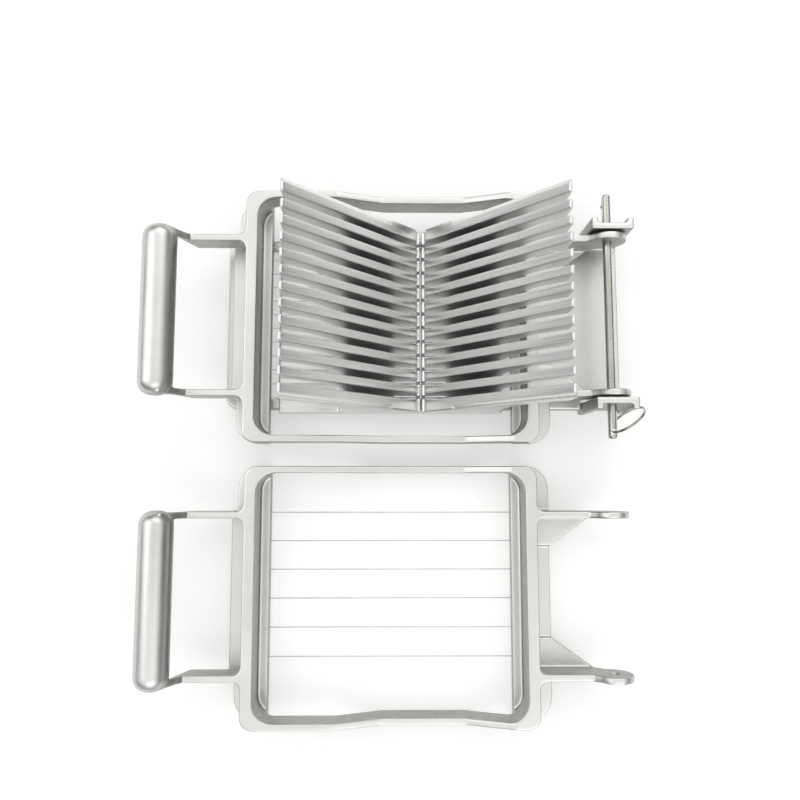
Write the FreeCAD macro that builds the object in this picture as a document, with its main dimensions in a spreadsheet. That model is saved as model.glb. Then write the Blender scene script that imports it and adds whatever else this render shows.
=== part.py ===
# Wire egg slicer: a cast base with a V-shaped rack of fins, a hinged cutting frame strung
# with twelve wires, and an interchangeable cutting frame strung with six.
# Millimetres. +Z is up and the table is z = 0. The slicer's long side runs along Y, the
# handles point towards -X and the hinge pin is at +X. The origin is on the table, under
# the middle of everything.
import os
import FreeCAD, Part
import Sketcher
from FreeCAD import Placement, Rotation, Vector

os.makedirs("parts", exist_ok=True)
doc = FreeCAD.newDocument("EggSlicer")

# ---- driving dimensions ----------------------------------------------------------------
SIZES = {
    # where the rack's middle stands, and how far the loose frame lies in front of it
    "rack_x": 14.235,
    "rack_y": 76.45,
    "spare_shift_y": -152.9,
    "spare_drop": 10.4,
    # cutting wires
    "wire_plane": 15.0,
    "wire_dia": 0.6,
    "wire_pitch": 8.0,
    "wire_bore": 0.9,
    "ferrule_dia": 2.2,
    "ferrule_long": 3.0,
    # base casting
    "base_left": -112.0,
    "base_right": 116.0,
    "base_half_wide": 50.0,
    "base_corner": 7.0,
    "deck_top": 8.0,
    "deck_thick": 4.0,
    "base_wall": 4.0,
    "window_half_long": 15.0,
    "window_half_wide": 44.0,
    "handle_window_from": -107.0,
    "handle_window_to": -82.0,
    "hinge_window_from": 47.5,
    "hinge_window_to": 68.0,
    "upright_left": 93.0,
    "upright_inner": 46.3,
    "upright_web": 3.5,
    "upright_flange": 52.6,
    "upright_flange_thick": 3.6,
    "upright_top": 43.0,
    # fin rack
    "foot_top": 12.0,
    "foot_half_wide": 52.7,
    "foot_gap": 16.5,
    "foot_left_end": 81.0,
    "foot_right_end": 46.5,
    "fin_thick": 4.5,
    "fin_span": 80.0,
    "fin_inner": 2.4,
    "fin_tip": 69.5,
    "vee_bottom": 18.0,
    "vee_slope": 1.15,
    "fin_sweep": 60.6,
    "tip_round": 1.0,
    "end_fin_inner": 45.75,
    "end_fin_step": 1.8,
    "end_fin_step_drop": 2.4,
    "spine_gap": 0.4,
    "spine_top": 17.8,
    "notch_wide": 1.4,
    "notch_bottom": 13.6,
    "screw_y": 33.0,
    "screw_near": 24.0,
    "screw_far": 40.0,
    "screw_shank": 3.6,
    "screw_bore": 3.7,
    "screw_clear": 4.4,
    "screw_head": 7.0,
    "screw_head_tall": 2.4,
    "screw_bite": 3.0,
    # cutting frame casting
    "frame_mid": -17.0,
    "ledge_edge": 68.5,
    "ridge_inner": 74.0,
    "ridge_outer": 80.6,
    "flange_edge": 90.3,
    "flange_narrow": 87.3,
    "flange_corner": 12.5,
    "rail_outer": 70.1,
    "rail_thick": 3.8,
    "frame_bottom": 10.4,
    "ledge_top": 16.5,
    "frame_top": 35.0,
    "rail_bottom": 19.5,
    "dip_top": 26.0,
    "dip_flat_from": -22.0,
    "dip_flat_to": 24.0,
    "dip_from": -47.0,
    "dip_to": 50.0,
    "ridge_corner": 7.0,
    "ridge_corner_inner": 10.5,
    "arm_inner": 41.5,
    "arm_thick": 3.7,
    "arm_bottom": 20.0,
    "hinge_arm_bottom": 17.5,
    "arm_fillet": 4.0,
    "web_from": 25.4,
    "web_bottom": 16.2,
    "web_thick": 2.0,
    "web_tip": 97.0,
    "handle_x": -141.1,
    "handle_z": 46.0,
    "handle_dia": 18.2,
    "handle_half_long": 46.3,
    "handle_round": 7.5,
    "arm_step": -127.5,
    "ear_radius": 10.3,
    # hinge pin, its detent and its pull ring
    "pin_x": 104.0,
    "pin_z": 32.0,
    "pin_dia": 5.0,
    "pin_bore": 5.2,
    "pin_back": 69.4,
    "pin_front": -68.4,
    "pin_round": 1.6,
    "ring_hole_y": -64.4,
    "ring_hole": 3.4,
    "detent_y": 62.6,
    "detent_bore": 2.6,
    "detent_depth": 4.1,
    "ball_dia": 2.4,
    "ball_proud": 0.7,
    "coil_radius": 0.85,
    "coil_wire": 0.32,
    "coil_turns": 3.0,
    "ring_radius": 10.6,
    "ring_wire": 0.8,
    "ring_lean": 14.0,
    "ring_turn": 39.0,
}

sheet = doc.addObject("Spreadsheet::Sheet", "Sizes")
for row, (alias, value) in enumerate(SIZES.items(), start=1):
    sheet.set(f"A{row}", alias)
    sheet.set(f"B{row}", str(value))
    sheet.setAlias(f"B{row}", alias)
doc.recompute()

WIRES = 12
SPARE_WIRES = 6
INNER_FINS = 11

RACK_PLACE = ("Sizes.rack_x", "Sizes.rack_y", "0")
SPARE_PLACE = ("Sizes.rack_x", "Sizes.rack_y + Sizes.spare_shift_y", "-Sizes.spare_drop")
parts = []


# ---- small helpers ---------------------------------------------------------------------
def size(alias):
    return sheet.get(alias)


def expr(text):
    """Names in the text that are cells of the sheet are written out as Sizes.name."""
    words = []
    for word in text.split():
        bare = word.lstrip("-(").rstrip(")")
        if bare in SIZES:
            word = word.replace(bare, "Sizes." + bare)
        words.append(word)
    return " ".join(words)


def place(obj, where):
    for axis, text in zip("xyz", where):
        obj.setExpression(f"Placement.Base.{axis}", text)


def new_body(name, where):
    body = doc.addObject("PartDesign::Body", name)
    body.Label = name
    place(body, where)
    parts.append(body)
    return body


def new_sketch(body, name, plane, offset="0"):
    """A sketch on one of the body's own origin planes, moved along that plane's normal."""
    sketch = body.newObject("Sketcher::SketchObject", name)
    origin_plane = next(f for f in body.Origin.OriginFeatures if f.Role == plane)
    sketch.AttachmentSupport = [(origin_plane, "")]
    sketch.MapMode = "FlatFace"
    sketch.setExpression("AttachmentOffset.Base.z", expr(offset))
    return sketch


def bind(sketch, kind, at, text):
    """A distance from the sketch's origin, or a diameter, that follows the sheet."""
    index = sketch.addConstraint(Sketcher.Constraint(kind, *at, 1.0))
    sketch.setExpression(f"Constraints[{index}]", expr(text))


def outline(sketch, corners):
    """A closed polygon whose corners are (x, y) expressions."""
    first = sketch.GeometryCount
    count = len(corners)
    start = [Vector(index, index * index, 0) for index in range(count)]
    for index in range(count):
        sketch.addGeometry(Part.LineSegment(start[index], start[(index + 1) % count]))
    for index in range(count):
        ahead = first + (index + 1) % count
        sketch.addConstraint(Sketcher.Constraint("Coincident", first + index, 2, ahead, 1))
    for index, (across, up) in enumerate(corners):
        bind(sketch, "DistanceX", (-1, 1, first + index, 1), across)
        bind(sketch, "DistanceY", (-1, 1, first + index, 1), up)


def rectangle(sketch, left, right, low, high):
    outline(sketch, [(left, low), (right, low), (right, high), (left, high)])


def circle(sketch, across, up, diameter):
    index = sketch.GeometryCount
    sketch.addGeometry(Part.Circle(Vector(1, 1, 0), Vector(0, 0, 1), 1))
    bind(sketch, "DistanceX", (-1, 1, index, 3), across)
    bind(sketch, "DistanceY", (-1, 1, index, 3), up)
    bind(sketch, "Diameter", (index,), diameter)


def extrude(body, sketch, kind, length, both_ways=False, backwards=False):
    """A Pad or a Pocket. A pocket has to take material away, or the model is wrong."""
    before = body.Tip.Shape.Volume if kind == "Pocket" else 0.0
    feature = body.newObject(f"PartDesign::{kind}", f"{kind}_{sketch.Name}")
    feature.Profile = sketch
    feature.setExpression("Length", expr(length))
    if both_ways:
        feature.Midplane = True
    feature.Reversed = backwards
    body.Tip = feature
    doc.recompute()
    if kind == "Pocket" and feature.Shape.Volume >= before - 1e-6:
        raise RuntimeError(f"{feature.Name} cuts nothing")
    return feature


def repeat_along(body, feature, axis, length, count):
    pattern = body.newObject("PartDesign::LinearPattern", f"Row_{feature.Name}")
    pattern.Originals = [feature]
    origin_axis = next(f for f in body.Origin.OriginFeatures if f.Role == axis)
    pattern.Direction = (origin_axis, [""])
    pattern.setExpression("Length", expr(length))
    pattern.Occurrences = count
    body.Tip = pattern
    doc.recompute()
    return pattern


def mirror_over(body, features, plane):
    mirrored = body.newObject("PartDesign::Mirrored", f"Mirror_{features[0].Name}")
    mirrored.Originals = features
    origin_plane = next(f for f in body.Origin.OriginFeatures if f.Role == plane)
    mirrored.MirrorPlane = (origin_plane, [""])
    body.Tip = mirrored
    doc.recompute()
    return mirrored


def round_edges(body, radius, wanted):
    """Rounds the edges of the body's latest feature whose middle passes the test."""
    base = body.Tip
    names = []
    for index, edge in enumerate(base.Shape.Edges, start=1):
        middle = edge.valueAt((edge.FirstParameter + edge.LastParameter) / 2)
        if wanted(edge, middle):
            names.append(f"Edge{index}")
    if not names:
        raise RuntimeError(f"no edge to round on {base.Name}")
    fillet = body.newObject("PartDesign::Fillet", f"Round_{base.Name}")
    fillet.Base = (base, names)
    fillet.setExpression("Radius", expr(radius))
    body.Tip = fillet
    doc.recompute()
    return fillet


def runs_along(edge, axis):
    if edge.Curve.TypeId != "Part::GeomLine":
        return False
    return abs(edge.tangentAt(edge.FirstParameter).dot(axis)) > 0.999


def near(value, *targets):
    return any(abs(value - target) < 0.05 for target in targets)


X_AXIS, Y_AXIS, Z_AXIS = Vector(1, 0, 0), Vector(0, 1, 0), Vector(0, 0, 1)


# ---- base casting ----------------------------------------------------------------------
def base_casting():
    body = new_body("base_casting", RACK_PLACE)
    plan = new_sketch(body, "base_plan", "XY_Plane")
    rectangle(plan, "base_left", "base_right", "-base_half_wide", "base_half_wide")
    extrude(body, plan, "Pad", "deck_top")
    round_edges(body, "base_corner", lambda edge, at: runs_along(edge, Z_AXIS) and at.x < 0)

    hollow = new_sketch(body, "base_hollow", "XY_Plane")
    wall = "base_wall"
    rectangle(hollow, f"base_left + {wall}", f"base_right - {wall}",
              f"-base_half_wide + {wall}", f"base_half_wide - {wall}")
    extrude(body, hollow, "Pocket", "deck_top - deck_thick", backwards=True)

    # Three windows: under the spine and beyond both ends of the rack's foot plates.
    windows = new_sketch(body, "base_windows", "XY_Plane")
    for start, end in (("handle_window_from", "handle_window_to"),
                       ("-window_half_long", "window_half_long"),
                       ("hinge_window_from", "hinge_window_to")):
        rectangle(windows, start, end, "-window_half_wide", "window_half_wide")
    extrude(body, windows, "Pocket", "deck_top", backwards=True)

    # The uprights are channels, open outwards: a web between two outward flanges.
    upright = new_sketch(body, "upright_plan", "XY_Plane")
    outline(upright, [
        ("upright_left", "upright_inner"),
        ("base_right", "upright_inner"),
        ("base_right", "upright_flange"),
        ("base_right - upright_flange_thick", "upright_flange"),
        ("base_right - upright_flange_thick", "upright_inner + upright_web"),
        ("upright_left + upright_flange_thick", "upright_inner + upright_web"),
        ("upright_left + upright_flange_thick", "upright_flange"),
        ("upright_left", "upright_flange"),
    ])
    pad = extrude(body, upright, "Pad", "upright_top")
    mirror_over(body, [pad], "XZ_Plane")

    pin_bore = new_sketch(body, "upright_pin_bore", "XZ_Plane")
    circle(pin_bore, "pin_x", "pin_z", "pin_bore")
    extrude(body, pin_bore, "Pocket", "2 * base_half_wide + 20", both_ways=True)

    screws = new_sketch(body, "base_screw_holes", "XY_Plane")
    for side in ("", "-"):
        for end in ("", "-"):
            for along in ("screw_near", "screw_far"):
                circle(screws, side + along, end + "screw_y", "screw_clear")
    extrude(body, screws, "Pocket", "deck_top", backwards=True)
    return body


# ---- fin rack --------------------------------------------------------------------------
def fin_rack(name, side, foot_end):
    """Half of the V. side is "" for the hinge half and "-" for the handle half."""
    sign = -1 if side else 1
    body = new_body(name, RACK_PLACE)
    foot = new_sketch(body, name + "_foot", "XY_Plane", "deck_top")
    rectangle(foot, side + "foot_gap", side + foot_end, "-foot_half_wide", "foot_half_wide")
    extrude(body, foot, "Pad", "foot_top - deck_top")

    def fin_outline(sketch):
        outline(sketch, [
            (side + "fin_inner", "deck_top"),
            (side + "foot_right_end", "deck_top"),
            (side + "foot_right_end", "pin_z"),
            (side + "fin_tip", "fin_sweep"),
            (side + "fin_tip", "vee_bottom + vee_slope * fin_tip"),
            (side + "fin_inner", "vee_bottom + vee_slope * fin_inner"),
        ])

    fin = new_sketch(body, name + "_fin", "XZ_Plane", "fin_span / 2")
    fin_outline(fin)
    first_fin = extrude(body, fin, "Pad", "fin_thick", both_ways=True)
    repeat_along(body, first_fin, "Y_Axis", "fin_span", INNER_FINS)

    end_fin = new_sketch(body, name + "_end_fin", "XZ_Plane", "-end_fin_inner")
    fin_outline(end_fin)
    end_pad = extrude(body, end_fin, "Pad", "foot_half_wide - end_fin_inner", backwards=True)
    mirror_over(body, [end_pad], "XZ_Plane")

    spine = new_sketch(body, name + "_spine", "XY_Plane", "deck_top")
    rectangle(spine, side + "spine_gap", side + "fin_inner",
              "-foot_half_wide", "foot_half_wide")
    extrude(body, spine, "Pad", "spine_top - deck_top")

    # The wings curve clear of the frame's hinge-side rail, which swings about the pin.
    sweep = new_sketch(body, name + "_sweep", "XZ_Plane")
    circle(sweep, side + "pin_x", "pin_z", "2 * fin_sweep")
    extrude(body, sweep, "Pocket", "2 * foot_half_wide + 10", both_ways=True)
    if side:
        # On the handle side the foot plate reaches further out and stays whole.
        plate = new_sketch(body, name + "_plate", "XY_Plane", "deck_top")
        rectangle(plate, "-foot_right_end", side + foot_end,
                  "-foot_half_wide", "foot_half_wide")
        extrude(body, plate, "Pad", "foot_top - deck_top")

    notch = new_sketch(body, name + "_notch", "XZ_Plane", "5.5 * wire_pitch")
    rectangle(notch, side + "spine_gap - 1" if not side else "-spine_gap + 1",
              side + "fin_inner", "notch_bottom", "spine_top + 1")
    slot = extrude(body, notch, "Pocket", "notch_wide", both_ways=True)
    repeat_along(body, slot, "Y_Axis", "11 * wire_pitch", WIRES)

    # The end fins carry a narrow strip, set lower, along their outer edge.
    step = new_sketch(body, name + "_step", "XZ_Plane", "-foot_half_wide - 1")
    over = "fin_tip + 1"
    outline(step, [
        (side + "foot_gap", "vee_bottom + vee_slope * foot_gap - end_fin_step_drop"),
        (f"{side}( {over} )", f"vee_bottom + vee_slope * ( {over} ) - end_fin_step_drop"),
        (f"{side}( {over} )", f"vee_bottom + vee_slope * ( {over} ) + 8"),
        (side + "foot_gap", "vee_bottom + vee_slope * foot_gap + 8"),
    ])
    strip = extrude(body, step, "Pocket", "end_fin_step + 1", backwards=True)
    mirror_over(body, [strip], "XZ_Plane")

    holes = new_sketch(body, name + "_screw_holes", "XY_Plane", "deck_top")
    for end in ("", "-"):
        for along in ("screw_near", "screw_far"):
            circle(holes, side + along, end + "screw_y", "screw_bore")
    extrude(body, holes, "Pocket", "screw_bite", backwards=True)

    tip_x = sign * size("fin_tip")
    tip_z = size("vee_bottom") + size("vee_slope") * size("fin_tip")
    round_edges(body, "tip_round", lambda edge, at: runs_along(edge, Y_AXIS)
                and near(at.x, tip_x) and near(at.z, tip_z))
    return body


# ---- cutting frame ---------------------------------------------------------------------
def wire_places(count, first, spacing):
    """Y of each wire as an expression over the pitch, from the far side to the near one."""
    return [f"{first - spacing * index} * wire_pitch" for index in range(count)]


def cutting_frame(name, where, wires):
    body = new_body(name, where)
    mid = "frame_mid"

    handle = new_sketch(body, name + "_handle", "XZ_Plane")
    circle(handle, "handle_x", "handle_z", "handle_dia")
    extrude(body, handle, "Pad", "2 * handle_half_long", both_ways=True)
    end_y = size("handle_half_long")
    round_edges(body, "handle_round", lambda edge, at: near(abs(at.y), end_y)
                and edge.Curve.TypeId == "Part::GeomCircle")

    ring = new_sketch(body, name + "_ring", "XY_Plane", "frame_bottom")
    rectangle(ring, f"{mid} - ridge_outer", f"{mid} + ridge_outer",
              "-rail_outer", "rail_outer")
    extrude(body, ring, "Pad", "frame_top - frame_bottom")
    ridge_faces = [size(mid) - size("ridge_outer"), size(mid) + size("ridge_outer")]
    round_edges(body, "ridge_corner", lambda edge, at: runs_along(edge, Z_AXIS)
                and near(at.x, *ridge_faces))

    middle = new_sketch(body, name + "_middle", "XY_Plane", "frame_bottom")
    rectangle(middle, f"{mid} - ridge_inner", f"{mid} + ridge_inner",
              "-rail_outer + rail_thick", "rail_outer - rail_thick")
    extrude(body, middle, "Pocket", "frame_top - frame_bottom", backwards=True)
    inner_x = size("ridge_inner")
    round_edges(body, "ridge_corner_inner", lambda edge, at: runs_along(edge, Z_AXIS)
                and near(abs(at.x - size(mid)), inner_x))

    # The long rails stand high at the corners and dip in the middle.
    high = new_sketch(body, name + "_dip_over", "XZ_Plane")
    outline(high, [("dip_from", "frame_top"), ("dip_flat_from", "dip_top"),
                   ("dip_flat_to", "dip_top"), ("dip_to", "frame_top"),
                   ("dip_to", "frame_top + 10"), ("dip_from", "frame_top + 10")])
    extrude(body, high, "Pocket", "2 * rail_outer + 10", both_ways=True)
    low = new_sketch(body, name + "_dip_under_handle_side", "XZ_Plane")
    outline(low, [(f"{mid} - ledge_edge", "frame_bottom - 5"),
                  (f"{mid} - ledge_edge", "rail_bottom"), ("dip_from", "rail_bottom"),
                  ("dip_flat_from", "frame_bottom"), ("dip_flat_from", "frame_bottom - 5")])
    extrude(body, low, "Pocket", "2 * rail_outer + 10", both_ways=True)
    low = new_sketch(body, name + "_dip_under_hinge_side", "XZ_Plane")
    outline(low, [(f"{mid} + ledge_edge", "frame_bottom - 5"),
                  (f"{mid} + ledge_edge", "rail_bottom"), ("dip_to", "rail_bottom"),
                  ("dip_flat_to", "frame_bottom"), ("dip_flat_to", "frame_bottom - 5")])
    extrude(body, low, "Pocket", "2 * rail_outer + 10", both_ways=True)

    # Each short side is a ridge with a low ledge inside it and a low flange outside it. On
    # the handle side the flange reaches further out between the arms.
    for label, way, reach in (("handle", "-", "flange_narrow"), ("hinge", "+", "flange_edge")):
        ledge = new_sketch(body, f"{name}_{label}_ledge", "XY_Plane", "frame_bottom")
        rectangle(ledge, f"{mid} {way} ledge_edge", f"{mid} {way} {reach}",
                  "-rail_outer", "rail_outer")
        extrude(body, ledge, "Pad", "ledge_top - frame_bottom")
    round_edges(body, "flange_corner", lambda edge, at: runs_along(edge, Z_AXIS)
                and abs(at.y) > size("ledge_edge")
                and near(abs(at.x - size(mid)), size("flange_narrow"), size("flange_edge")))
    between = new_sketch(body, name + "_flange_between_arms", "XY_Plane", "frame_bottom")
    rectangle(between, f"{mid} - flange_edge", f"{mid} - ridge_outer + 1",
              "-arm_inner - arm_thick", "arm_inner + arm_thick")
    extrude(body, between, "Pad", "ledge_top - frame_bottom")

    # Arms to the handle, with a step up to it, and arms to the hinge, in line with them.
    arms = new_sketch(body, name + "_arms", "XZ_Plane", "-arm_inner")
    outline(arms, [(f"{mid} - ridge_outer + 3", "arm_bottom"),
                   (f"{mid} - ridge_outer + 3", "frame_top"),
                   ("arm_step", "frame_top"), ("arm_step - 3", "frame_top + 3.5"),
                   ("handle_x + 4", "handle_z + 6"), ("handle_x", "handle_z + 6"),
                   ("handle_x", "handle_z - 7"), ("handle_x + 7", "handle_z - 7"),
                   ("arm_step", "arm_bottom")])
    outline(arms, [(f"{mid} + ridge_outer - 3", "hinge_arm_bottom"),
                   ("web_tip", "hinge_arm_bottom"), ("pin_x", "pin_z - 9"),
                   ("pin_x", "pin_z + 9"), ("pin_x - 6", "pin_z + 8"),
                   ("pin_x - 12", "frame_top"), (f"{mid} + ridge_outer - 3", "frame_top")])
    arm_pad = extrude(body, arms, "Pad", "arm_thick", backwards=True)
    ear = new_sketch(body, name + "_ear", "XZ_Plane", "-arm_inner")
    circle(ear, "pin_x", "pin_z", "2 * ear_radius")
    ear_pad = extrude(body, ear, "Pad", "arm_thick", backwards=True)
    mirror_over(body, [arm_pad, ear_pad], "XZ_Plane")
    arm_faces = [size("arm_inner"), size("arm_inner") + size("arm_thick")]
    round_edges(body, "arm_fillet", lambda edge, at: runs_along(edge, Z_AXIS)
                and near(at.x, *ridge_faces) and near(abs(at.y), *arm_faces)
                and at.z > size("ledge_top") + 1)

    # Thin triangular webs brace the hinge arms against the short side.
    web = new_sketch(body, name + "_web", "XY_Plane", "web_bottom")
    outline(web, [(f"{mid} + ridge_outer - 1", "web_from"),
                  (f"{mid} + flange_edge", "web_from"), ("web_tip", "arm_inner + 0.5"),
                  (f"{mid} + ridge_outer - 1", "arm_inner + 0.5")])
    web_pad = extrude(body, web, "Pad", "web_thick")
    mirror_over(body, [web_pad], "XZ_Plane")

    bore = new_sketch(body, name + "_pin_bore", "XZ_Plane")
    circle(bore, "pin_x", "pin_z", "pin_bore")
    extrude(body, bore, "Pocket", "2 * rail_outer", both_ways=True)

    wire_bores = new_sketch(body, name + "_wire_bores", "YZ_Plane", mid)
    for along in wires:
        circle(wire_bores, along, "wire_plane", "wire_bore")
    extrude(body, wire_bores, "Pocket", "2 * flange_edge + 1", both_ways=True)
    for label, way, inward in (("handle", "-", False), ("hinge", "+", True)):
        seats = new_sketch(body, f"{name}_{label}_seats", "YZ_Plane",
                           f"{mid} {way} flange_edge")
        for along in wires:
            circle(seats, along, "wire_plane", "ferrule_dia")
        extrude(body, seats, "Pocket", "ferrule_long", backwards=not inward)
    return body


def cutting_wire(name, where, along):
    """One taut wire from outer flange face to outer flange face."""
    wire = doc.addObject("Part::Cylinder", name)
    wire.Label = name
    wire.setExpression("Radius", expr("wire_dia / 2"))
    wire.setExpression("Height", expr("2 * flange_edge"))
    base = expr("frame_mid - flange_edge")
    wire.Placement = Placement(Vector(), Rotation(Y_AXIS, 90))
    wire.setExpression("Placement.Base.x", f"{where[0]} + {base}")
    wire.setExpression("Placement.Base.y", f"{where[1]} + {expr(along)}")
    wire.setExpression("Placement.Base.z", f"{where[2]} + Sizes.wire_plane")
    parts.append(wire)


def wire_ferrules(name, where, wires):
    """Crimp sleeves, one on each end of each wire, seated in the flanges."""
    body = new_body(name, where)
    body.AllowCompound = True
    for label, way, inward in (("handle", "-", False), ("hinge", "+", True)):
        rings = new_sketch(body, f"{name}_{label}", "YZ_Plane", f"frame_mid {way} flange_edge")
        for along in wires:
            circle(rings, along, "wire_plane", "ferrule_dia")
            circle(rings, along, "wire_plane", "wire_dia")
        extrude(body, rings, "Pad", "ferrule_long", backwards=inward)
    return body


# ---- screws ----------------------------------------------------------------------------
def rack_screws():
    """Pan-head screws that come up through the deck into the rack's foot plates."""
    body = new_body("rack_screws", RACK_PLACE)
    body.AllowCompound = True
    for label, offset, length, diameter in (
            ("heads", "deck_top - deck_thick - screw_head_tall", "screw_head_tall",
             "screw_head"),
            ("shanks", "deck_top - deck_thick", "deck_thick + screw_bite - 0.2",
             "screw_shank")):
        places = new_sketch(body, "screw_" + label, "XY_Plane", offset)
        for side in ("", "-"):
            for end in ("", "-"):
                for along in ("screw_near", "screw_far"):
                    circle(places, side + along, end + "screw_y", diameter)
        extrude(body, places, "Pad", length)
    drive = new_sketch(body, "screw_drive", "XY_Plane",
                       "deck_top - deck_thick - screw_head_tall")
    for side in ("", "-"):
        for end in ("", "-"):
            for along in ("screw_near", "screw_far"):
                rectangle(drive, f"{side}{along} - 2.2", f"{side}{along} + 2.2",
                          f"{end}screw_y - 0.5", f"{end}screw_y + 0.5")
    extrude(body, drive, "Pocket", "screw_head_tall / 2", backwards=True)
    return body


# ---- hinge pin, detent and pull ring ---------------------------------------------------
def hinge_pin():
    body = new_body("hinge_pin", RACK_PLACE)
    section = new_sketch(body, "pin_section", "XZ_Plane", "-pin_back")
    circle(section, "pin_x", "pin_z", "pin_dia")
    extrude(body, section, "Pad", "pin_back - pin_front")
    ends = [size("pin_back"), size("pin_front")]
    round_edges(body, "pin_round", lambda edge, at: near(at.y, *ends)
                and edge.Curve.TypeId == "Part::GeomCircle")
    ring_hole = new_sketch(body, "pin_ring_hole", "XY_Plane", "pin_z")
    circle(ring_hole, "pin_x", "ring_hole_y", "ring_hole")
    extrude(body, ring_hole, "Pocket", "2 * pin_dia", both_ways=True)
    detent = new_sketch(body, "pin_detent_bore", "YZ_Plane", "pin_x - pin_dia / 2")
    circle(detent, "detent_y", "pin_z", "detent_bore")
    extrude(body, detent, "Pocket", "detent_depth", backwards=True)
    return body


def detent_ball():
    ball = doc.addObject("Part::Sphere", "detent_ball")
    ball.Label = "detent_ball"
    ball.setExpression("Radius", expr("ball_dia / 2"))
    place(ball, (
        "Sizes.rack_x + " + expr("pin_x - pin_dia / 2 - ball_proud + ball_dia / 2"),
        "Sizes.rack_y + Sizes.detent_y",
        "Sizes.pin_z"))
    parts.append(ball)


def detent_spring():
    """A small compression coil between the ball and the bottom of its bore."""
    radius, wire = size("coil_radius"), size("coil_wire")
    floor = size("pin_x") - size("pin_dia") / 2 + size("detent_depth")
    ball_back = size("pin_x") - size("pin_dia") / 2 - size("ball_proud") + size("ball_dia")
    length = floor - ball_back - 2 * wire
    helix = Part.makeHelix(length / size("coil_turns"), length, radius)
    start = Part.Wire(Part.makeCircle(wire / 2, Vector(radius, 0, 0), Y_AXIS))
    coil = Part.Wire(helix).makePipeShell([start], True, True)
    spring = doc.addObject("Part::Feature", "detent_spring")
    spring.Label = "detent_spring"
    spring.Shape = coil
    spring.Placement = Placement(
        Vector(size("rack_x") + ball_back + wire, size("rack_y") + size("detent_y"),
               size("pin_z")),
        Rotation(Y_AXIS, 90))
    parts.append(spring)


def pull_ring():
    """The ring leans over sideways and points back past the upright."""
    ring = doc.addObject("Part::Torus", "pull_ring")
    ring.Label = "pull_ring"
    ring.setExpression("Radius1", expr("ring_radius"))
    ring.setExpression("Radius2", expr("ring_wire"))
    turn = Rotation(Z_AXIS, size("ring_turn"))
    lean = Rotation(X_AXIS, 90 + size("ring_lean"))
    ring.Placement = Placement(Vector(), turn.multiply(lean))
    away = "ring_radius * cos( ring_turn * 1 deg )"
    side = "ring_radius * sin( ring_turn * 1 deg )"
    place(ring, ("Sizes.rack_x + Sizes.pin_x + " + expr(away),
                 "Sizes.rack_y + Sizes.ring_hole_y + " + expr(side),
                 "Sizes.pin_z"))
    parts.append(ring)


# ---- the whole slicer ------------------------------------------------------------------
all_wires = wire_places(WIRES, 5.5, 1.0)
spare_wires = wire_places(SPARE_WIRES, 5.5, 2.0)

base_casting()
fin_rack("right_fin_rack", "", "foot_right_end")
fin_rack("left_fin_rack", "-", "foot_left_end")
rack_screws()
cutting_frame("cutting_frame_casting", RACK_PLACE, all_wires)
for number, along in enumerate(all_wires, start=1):
    cutting_wire(f"cutting_wire_{number:02d}", RACK_PLACE, along)
wire_ferrules("wire_ferrules", RACK_PLACE, all_wires)
hinge_pin()
detent_ball()
detent_spring()
pull_ring()
cutting_frame("spare_frame_casting", SPARE_PLACE, spare_wires)
for number, along in enumerate(spare_wires, start=1):
    cutting_wire(f"spare_wire_{number}", SPARE_PLACE, along)
wire_ferrules("spare_wire_ferrules", SPARE_PLACE, spare_wires)

doc.recompute()
for obj in doc.Objects:
    if "Invalid" in obj.State or "Error" in obj.State:
        raise RuntimeError(f"{obj.Name} failed: {obj.State}")
for part in parts:
    if part.Shape.isNull() or not part.Shape.isValid():
        raise RuntimeError(f"{part.Label} has no valid shape")
    part.Shape.exportStep(f"parts/{part.Label}.step")
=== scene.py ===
"""The egg slicer's looks: cast and brushed aluminium, taut steel wires and a split pull ring.

Everything is in metres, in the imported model's frame: +Z is up, +X runs from the handles to
the hinge pin and +Y runs along the pin, away from the loose cutting frame.
"""
import math

import bpy
from mathutils import Matrix, Vector


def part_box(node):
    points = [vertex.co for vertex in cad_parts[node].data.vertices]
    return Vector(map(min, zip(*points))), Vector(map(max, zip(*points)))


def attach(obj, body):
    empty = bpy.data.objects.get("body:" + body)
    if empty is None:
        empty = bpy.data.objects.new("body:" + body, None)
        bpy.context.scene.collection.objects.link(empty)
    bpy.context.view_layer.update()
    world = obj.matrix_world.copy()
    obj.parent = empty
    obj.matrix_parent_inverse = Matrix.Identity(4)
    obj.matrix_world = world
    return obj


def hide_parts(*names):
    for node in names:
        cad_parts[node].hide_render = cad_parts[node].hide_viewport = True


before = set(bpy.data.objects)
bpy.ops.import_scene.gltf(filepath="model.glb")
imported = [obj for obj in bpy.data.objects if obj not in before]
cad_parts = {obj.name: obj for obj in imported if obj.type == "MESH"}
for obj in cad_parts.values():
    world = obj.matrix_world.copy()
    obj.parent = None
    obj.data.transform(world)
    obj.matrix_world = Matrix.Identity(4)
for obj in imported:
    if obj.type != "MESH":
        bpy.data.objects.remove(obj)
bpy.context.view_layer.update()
MM = 0.001

# ---- the camera's place over the table ----------------------------------------------------
SPINE_GAP = 0.4 * MM
RACK_LOW, RACK_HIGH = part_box("right_fin_rack")
SPINE = Vector((RACK_LOW.x - SPINE_GAP, (RACK_LOW.y + RACK_HIGH.y) / 2, 0.0))
CAMERA_FROM_SPINE = Vector((-16.35, -90.5, 433.6)) * MM
CAMERA_TILT = (6.17, -0.62)
LENS_MM = 33.3
SENSOR_MM = 36.0

# ---- the castings' softened edges ---------------------------------------------------------
WELD_REACH = 0.01 * MM
FRAME_VOXEL, FRAME_PASSES = 0.5 * MM, 10
RACK_VOXEL, RACK_PASSES = 0.5 * MM, 6
BASE_VOXEL, BASE_PASSES = 0.6 * MM, 6

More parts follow.
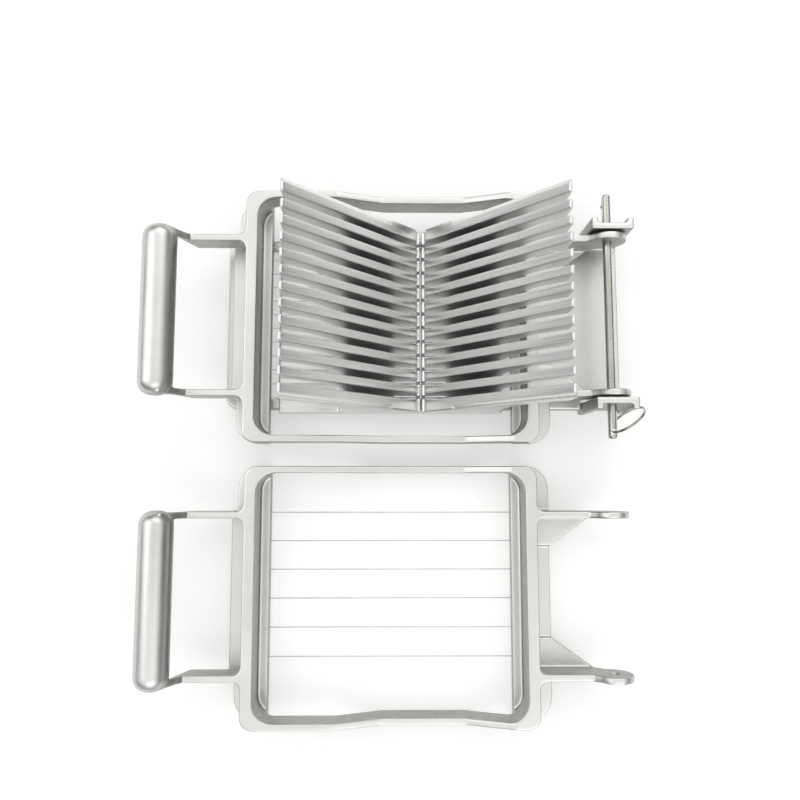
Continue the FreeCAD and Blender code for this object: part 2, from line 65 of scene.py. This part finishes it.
# ---- the split pull ring ------------------------------------------------------------------
RING_RADIUS = 10.6 * MM
RING_WIRE = 0.4 * MM
RING_TURN = math.radians(39.0)
RING_LEAN = math.radians(14.0)
RING_START = math.radians(200.0)
RING_TURNS = 1.96
RING_STEPS = 150
RING_STEP_OVER = 14.0
RING_SPREAD = 0.98

# ---- the room -----------------------------------------------------------------------------
TABLE_REACH = 3.0
TABLE_GLOW = 0.44
LAMP_HEIGHT = 1.1
LAMP_AWAY = 1.3
WINDOW_SIZE, WINDOW_WATTS = (1.4, 1.6), 5.5
LAMP_SIZE, LAMP_WATTS = (1.6, 1.2), 6.0
# The room's brightness from the horizon (0) to straight overhead (1).
ROOM_STOPS = [(0.0, (0.12, 0.12, 0.118)), (0.34, (0.07, 0.07, 0.069)), (0.50, (0.30, 0.30, 0.295)),
              (0.66, (0.82, 0.82, 0.81)), (0.82, (0.78, 0.78, 0.77)), (1.0, (0.69, 0.69, 0.68))]
ROOM_STRENGTH = 1.12


# ---- node helpers -------------------------------------------------------------------------
def fill_ramp(ramp, stops):
    """Gives a colour ramp its stops, as (position, colour) pairs from low to high."""
    first, last = ramp.elements
    first.position, first.color = stops[0][0], (*stops[0][1], 1)
    last.position, last.color = stops[-1][0], (*stops[-1][1], 1)
    for position, colour in stops[1:-1]:
        ramp.elements.new(position).color = (*colour, 1)


class Nodes:
    """A material's node tree, with short calls for the nodes that the metals share."""

    def __init__(self, name):
        self.material = bpy.data.materials.new(name)
        self.material.use_nodes = True
        self.tree = self.material.node_tree
        self.shader = self.tree.nodes["Principled BSDF"]
        self.place = self.add("ShaderNodeTexCoord").outputs["Object"]

    def add(self, kind, **settings):
        node = self.tree.nodes.new(kind)
        for key, value in settings.items():
            setattr(node, key, value)
        return node

    def link(self, source, target):
        self.tree.links.new(source, target)

    def stretched(self, scale):
        """The object's own coordinates, scaled by a different amount along each axis."""
        mapping = self.add("ShaderNodeMapping")
        mapping.inputs["Scale"].default_value = scale
        self.link(self.place, mapping.inputs["Vector"])
        return mapping.outputs["Vector"]

    def noise(self, place, scale, detail=3.0, roughness=0.5):
        node = self.add("ShaderNodeTexNoise")
        node.inputs["Scale"].default_value = scale
        node.inputs["Detail"].default_value = detail
        node.inputs["Roughness"].default_value = roughness
        self.link(place, node.inputs["Vector"])
        return node.outputs["Fac"]

    def spread(self, value, low, high, from_low=0.3, from_high=0.7):
        node = self.add("ShaderNodeMapRange")
        node.inputs["From Min"].default_value = from_low
        node.inputs["From Max"].default_value = from_high
        node.inputs["To Min"].default_value = low
        node.inputs["To Max"].default_value = high
        self.link(value, node.inputs["Value"])
        return node.outputs["Result"]

    def ramp(self, value, stops):
        node = self.add("ShaderNodeValToRGB")
        fill_ramp(node.color_ramp, stops)
        self.link(value, node.inputs["Fac"])
        return node.outputs["Color"]

    def mix(self, share, first, second):
        node = self.add("ShaderNodeMix", data_type="RGBA")
        self.link(share, node.inputs["Factor"])
        self.link(first, node.inputs["A"])
        self.link(second, node.inputs["B"])
        return node.outputs["Result"]

    def mix_value(self, share, first, second):
        node = self.add("ShaderNodeMix", data_type="FLOAT")
        self.link(share, node.inputs["Factor"])
        self.link(first, node.inputs["A"])
        self.link(second, node.inputs["B"])
        return node.outputs["Result"]

    def facing_up(self, low, high):
        """0 on walls and 1 on tops, by the object's own axes, so that it moves with it."""
        split = self.add("ShaderNodeSeparateXYZ")
        self.link(self.add("ShaderNodeTexCoord").outputs["Normal"], split.inputs["Vector"])
        return self.spread(split.outputs["Z"], 0.0, 1.0, low, high)

    def bump(self, height, strength, distance, under=None):
        node = self.add("ShaderNodeBump")
        node.inputs["Strength"].default_value = strength
        node.inputs["Distance"].default_value = distance
        self.link(height, node.inputs["Height"])
        if under is not None:
            self.link(under, node.inputs["Normal"])
        return node.outputs["Normal"]

    def metal(self, colour, roughness, normal):
        self.shader.inputs["Metallic"].default_value = 1.0
        self.link(colour, self.shader.inputs["Base Color"])
        self.link(roughness, self.shader.inputs["Roughness"])
        self.link(normal, self.shader.inputs["Normal"])
        return self.material


def cast_aluminium():
    """Tumbled casting with fine grain and shallow dimples; its walls are painted much darker than
    its tops, as painted shade.
    """
    nodes = Nodes("cast_aluminium")
    clouds = nodes.noise(nodes.place, 28.0, 4.0, 0.55)
    grain = nodes.noise(nodes.place, 1500.0, 2.0, 0.6)
    dimples = nodes.noise(nodes.place, 210.0, 3.0, 0.5)
    # Painted shade: faces that point sideways get a much darker tone than the tops, standing in
    # for the dark surroundings that their walls and rounded edges reflect.
    top = nodes.ramp(clouds, [(0.3, (0.79, 0.785, 0.77)), (0.52, (0.84, 0.837, 0.825)),
                              (0.72, (0.89, 0.888, 0.88))])
    painted_shade_wall = nodes.ramp(dimples, [(0.3, (0.33, 0.327, 0.318)), (0.7, (0.41, 0.407, 0.396))])
    # Share of the top tone by how far each face points up; the rest is the painted shade of the
    # walls.
    painted_light_on_tops = nodes.facing_up(0.25, 0.92)
    colour = nodes.mix(painted_light_on_tops, painted_shade_wall, top)
    roughness = nodes.spread(clouds, 0.33, 0.44)
    soft = nodes.bump(dimples, 0.25, 0.0004)
    return nodes.metal(colour, roughness, nodes.bump(grain, 0.12, 0.0001, soft))


def brushed_aluminium():
    """The fins: sanded along their length on the V, greyer and as cast on their flanks."""
    nodes = Nodes("brushed_aluminium")
    streaks = nodes.noise(nodes.stretched((30.0, 2600.0, 30.0)), 1.0, 4.0, 0.6)
    long_streaks = nodes.noise(nodes.stretched((9.0, 700.0, 9.0)), 1.0, 2.0, 0.5)
    grain = nodes.noise(nodes.place, 900.0, 3.0, 0.6)
    clouds = nodes.noise(nodes.place, 40.0, 3.0, 0.5)
    facing_up = nodes.facing_up(0.40, 0.62)
    sanded = nodes.ramp(streaks, [(0.25, (0.80, 0.795, 0.785)), (0.5, (0.90, 0.897, 0.89)),
                                  (0.75, (0.96, 0.958, 0.95))])
    flank = nodes.ramp(clouds, [(0.3, (0.74, 0.737, 0.728)), (0.7, (0.82, 0.817, 0.81))])
    colour = nodes.mix(facing_up, flank, sanded)
    rough_top = nodes.spread(long_streaks, 0.26, 0.40)
    rough_flank = nodes.spread(clouds, 0.32, 0.42)
    roughness = nodes.mix_value(facing_up, rough_flank, rough_top)
    relief = nodes.mix_value(facing_up, grain, streaks)
    return nodes.metal(colour, roughness, nodes.bump(relief, 0.16, 0.0001))


def drawn_steel(name, dark, light, rough_low, rough_high, along):
    """Drawn or turned steel with faint marks; along is how fast they vary along each axis."""
    nodes = Nodes(name)
    marks = nodes.noise(nodes.stretched(along), 1.0, 3.0, 0.55)
    tone = nodes.noise(nodes.place, 60.0, 2.0, 0.5)
    colour = nodes.ramp(tone, [(0.3, dark), (0.7, light)])
    roughness = nodes.spread(marks, rough_low, rough_high)
    return nodes.metal(colour, roughness, nodes.bump(marks, 0.10, 0.00005))


def glowing_table_paper():
    nodes = Nodes("white_table")
    tone = nodes.noise(nodes.place, 3.0, 2.0, 0.5)
    colour = nodes.ramp(tone, [(0.3, (0.68, 0.68, 0.675)), (0.7, (0.71, 0.71, 0.705))])
    nodes.link(colour, nodes.shader.inputs["Base Color"])
    # Painted light: the table glows a little, which lifts the shadows on it and lights the metal
    # from below.
    nodes.shader.inputs["Emission Color"].default_value = (1.0, 1.0, 0.99, 1)
    nodes.shader.inputs["Emission Strength"].default_value = TABLE_GLOW
    nodes.shader.inputs["Roughness"].default_value = 0.75
    fibre = nodes.noise(nodes.place, 400.0, 2.0, 0.5)
    nodes.link(nodes.bump(fibre, 0.05, 0.0002), nodes.shader.inputs["Normal"])
    return nodes.material


# ---- carried-over CAD nodes ---------------------------------------------------------------
def finish_node(name, material, voxel=0.0, passes=0):
    """Gives a CAD node its material and, where it is a casting, softly rounded edges."""
    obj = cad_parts[name]
    if obj.material_slots:
        for slot in obj.material_slots:
            slot.material = material
    else:
        obj.data.materials.append(material)
    if voxel:
        weld = obj.modifiers.new("weld", "WELD")
        weld.merge_threshold = WELD_REACH
        skin = obj.modifiers.new("cast_skin", "REMESH")
        skin.mode = "VOXEL"
        skin.voxel_size = voxel
        skin.use_smooth_shade = True
        relax = obj.modifiers.new("soft_edges", "SMOOTH")
        relax.factor = 0.5
        relax.iterations = passes


def dress_cad_nodes():
    cast = cast_aluminium()
    brushed = brushed_aluminium()
    wire = drawn_steel("wire_steel", (0.50, 0.50, 0.51), (0.68, 0.68, 0.69), 0.2, 0.34,
                       (40.0, 4000.0, 4000.0))
    pin = drawn_steel("pin_steel", (0.56, 0.545, 0.51), (0.70, 0.685, 0.65), 0.16, 0.3,
                      (60.0, 2500.0, 60.0))
    small = drawn_steel("small_steel", (0.50, 0.50, 0.50), (0.66, 0.66, 0.66), 0.25, 0.4,
                        (900.0, 900.0, 900.0))
    finish_node("base_casting", cast, BASE_VOXEL, BASE_PASSES)
    finish_node("cutting_frame_casting", cast, FRAME_VOXEL, FRAME_PASSES)
    finish_node("spare_frame_casting", cast, FRAME_VOXEL, FRAME_PASSES)
    finish_node("left_fin_rack", brushed, RACK_VOXEL, RACK_PASSES)
    finish_node("right_fin_rack", brushed, RACK_VOXEL, RACK_PASSES)
    finish_node("hinge_pin", pin)
    finish_node("detent_ball", small)
    for name in ("wire_ferrules", "spare_wire_ferrules", "rack_screws", "detent_spring"):
        finish_node(name, small)
    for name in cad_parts:
        if name.startswith(("cutting_wire", "spare_wire_")) and "ferrules" not in name:
            finish_node(name, wire)


# ---- the pull ring ------------------------------------------------------------------------
def split_ring():
    """Two close turns of wire that step over each other, in place of the plain CAD ring."""
    low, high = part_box("pull_ring")
    middle = (low + high) / 2
    curve = bpy.data.curves.new("split_ring", "CURVE")
    curve.dimensions = "3D"
    curve.bevel_depth = RING_WIRE
    curve.bevel_resolution = 5
    curve.use_fill_caps = True
    spline = curve.splines.new("NURBS")
    spline.points.add(RING_STEPS)
    for index, point in enumerate(spline.points):
        share = index / RING_STEPS
        angle = math.tau * RING_TURNS * share + RING_START
        # The wire steps from one face of the ring to the other in the middle of its length.
        side = math.tanh((share - 0.5) * RING_STEP_OVER) * RING_WIRE * RING_SPREAD
        point.co = (RING_RADIUS * math.cos(angle), RING_RADIUS * math.sin(angle), side, 1)
    spline.order_u = 4
    spline.use_endpoint_u = True
    sweep = bpy.data.objects.new("ring_sweep", curve)
    mesh = bpy.data.meshes.new_from_object(sweep)
    bpy.data.objects.remove(sweep)
    turn = Matrix.Rotation(RING_TURN, 4, "Z")
    lean = Matrix.Rotation(math.radians(90) + RING_LEAN, 4, "X")
    mesh.transform(Matrix.Translation(middle) @ turn @ lean)
    for face in mesh.polygons:
        face.use_smooth = True
    ring = bpy.data.objects.new("split_ring", mesh)
    bpy.context.collection.objects.link(ring)
    mesh.materials.append(drawn_steel("ring_steel", (0.42, 0.41, 0.39), (0.60, 0.59, 0.57),
                                      0.14, 0.26, (700.0, 700.0, 700.0)))
    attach(ring, "pull_ring")
    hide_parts("pull_ring")


# ---- surroundings -------------------------------------------------------------------------
def area_light(name, place, across, power):
    """A white rectangular lamp that points at the middle of the set."""
    data = bpy.data.lights.new(name, "AREA")
    data.shape = "RECTANGLE"
    data.size, data.size_y = across
    data.energy = power
    light = bpy.data.objects.new(name, data)
    light.location = place
    light.rotation_euler = (-Vector(place)).to_track_quat("-Z", "Y").to_euler()
    bpy.context.collection.objects.link(light)


def room_light():
    """A bright ceiling over darker walls, which the metal's rounded edges pick up."""
    world = bpy.data.worlds.new("studio")
    bpy.context.scene.world = world
    world.use_nodes = True
    tree = world.node_tree
    place = tree.nodes.new("ShaderNodeTexCoord")
    split = tree.nodes.new("ShaderNodeSeparateXYZ")
    ramp = tree.nodes.new("ShaderNodeValToRGB")
    tree.links.new(place.outputs["Generated"], split.inputs["Vector"])
    tree.links.new(split.outputs["Z"], ramp.inputs["Fac"])
    tree.links.new(ramp.outputs["Color"], tree.nodes["Background"].inputs["Color"])
    fill_ramp(ramp.color_ramp, ROOM_STOPS)
    tree.nodes["Background"].inputs["Strength"].default_value = ROOM_STRENGTH


def studio():
    mesh = bpy.data.meshes.new("table_top")
    reach = TABLE_REACH
    mesh.from_pydata([(-reach, -reach, 0), (reach, -reach, 0), (reach, reach, 0),
                      (-reach, reach, 0)], [], [(0, 1, 2, 3)])
    table = bpy.data.objects.new("table_top", mesh)
    mesh.materials.append(glowing_table_paper())
    bpy.context.collection.objects.link(table)

    room_light()
    area_light("window", (-LAMP_AWAY, 0.3, LAMP_HEIGHT), WINDOW_SIZE, WINDOW_WATTS)
    area_light("front_lamp", (0.4, -LAMP_AWAY, LAMP_HEIGHT), LAMP_SIZE, LAMP_WATTS)
    area_light("back_lamp", (0.4, LAMP_AWAY, LAMP_HEIGHT), LAMP_SIZE, LAMP_WATTS)


def photo_camera():
    data = bpy.data.cameras.new("camera")
    data.lens = LENS_MM
    data.sensor_width = SENSOR_MM
    data.clip_start = 0.01
    camera = bpy.data.objects.new("camera", data)
    camera.location = SPINE + CAMERA_FROM_SPINE
    camera.rotation_euler = (math.radians(CAMERA_TILT[0]), math.radians(CAMERA_TILT[1]), 0)
    bpy.context.collection.objects.link(camera)
    bpy.context.scene.camera = camera


bpy.context.scene.view_settings.view_transform = "Standard"
photo_camera()
studio()
dress_cad_nodes()
split_ring()
